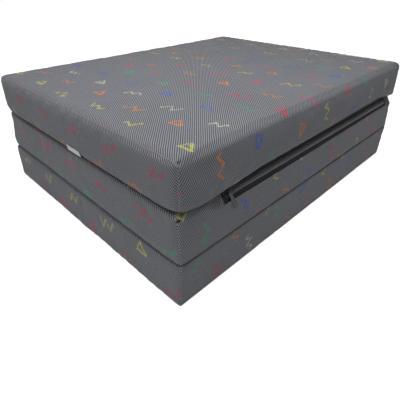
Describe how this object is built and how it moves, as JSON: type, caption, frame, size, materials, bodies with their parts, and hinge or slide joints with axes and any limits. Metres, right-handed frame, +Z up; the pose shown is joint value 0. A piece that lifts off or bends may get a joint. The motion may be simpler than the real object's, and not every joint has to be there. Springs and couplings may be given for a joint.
{
  "type": "folding mattress",
  "caption": "Folding foam mattress of sewn panels hinged along alternate edges, stacked in a Z fold, with a zipped cover on the middle panel.",
  "frame": {"origin": "middle of the base of the folded stack, on the floor", "axes": "+X along the fold lines, from the slider's resting end of the zipper to its other end, +Y from the zipped front to the back, +Z up"},
  "size_m": [0.808, 0.6394, 0.274],
  "materials": {
    "cover_cloth": "fine grey melange weave with scattered small coloured marks",
    "foam": "open-cell foam, matt",
    "seam_cloth": "folded cloth, matt",
    "zipper_tape": "black woven tape",
    "zipper_coil": "dark nylon coil, semi-gloss",
    "zipper_metal": "gunmetal enamel, semi-gloss",
    "label_cloth": "pale satin ribbon, blank"
  },
  "bodies": {
    "bottom_panel": {"cover_wrap_bottom": "cover_cloth", "side_gusset_left_bottom": "cover_cloth", "side_gusset_right_bottom": "cover_cloth", "foam_core_bottom": "foam", "hinge_seam_lower": "seam_cloth"},
    "middle_panel": {"cover_wrap_middle": "cover_cloth", "side_gusset_left_middle": "cover_cloth", "side_gusset_right_middle": "cover_cloth", "foam_core_middle": "foam", "hinge_seam_upper": "seam_cloth", "zipper_tape_upper": "zipper_tape", "zipper_tape_lower": "zipper_tape", "zipper_chain_upper": "zipper_coil", "zipper_chain_lower": "zipper_coil", "zipper_top_stop_upper": "zipper_metal", "zipper_top_stop_lower": "zipper_metal", "zipper_bottom_stop": "zipper_metal"},
    "top_panel": {"cover_wrap_top": "cover_cloth", "side_gusset_left_top": "cover_cloth", "side_gusset_right_top": "cover_cloth", "foam_core_top": "foam", "care_label": "label_cloth"},
    "zipper_slider": {"zipper_slider": "zipper_metal"},
    "zipper_pull": {"zipper_pull": "zipper_metal"}
  },
  "joints": [
    {"name": "lower_fold", "type": "hinge", "parent": "bottom_panel", "child": "middle_panel", "pos_m": [0, -0.31667, 0.09], "axis": [1, 0, 0], "range_deg": [0, 180]},
    {"name": "upper_fold", "type": "hinge", "parent": "middle_panel", "child": "top_panel", "pos_m": [0, 0.31667, 0.18], "axis": [-1, 0, 0], "range_deg": [0, 180]},
    {"name": "slider_travel", "type": "slide", "parent": "middle_panel", "child": "zipper_slider", "axis": [1, 0, 0], "range_m": [0, 0.6544]},
    {"name": "pull_swing", "type": "hinge", "parent": "zipper_slider", "child": "zipper_pull", "pos_m": [-0.2831, -0.30943, 0.16845], "axis": [0, -0.9724, 0.2334], "range_deg": [-55, 70]}
  ]
}
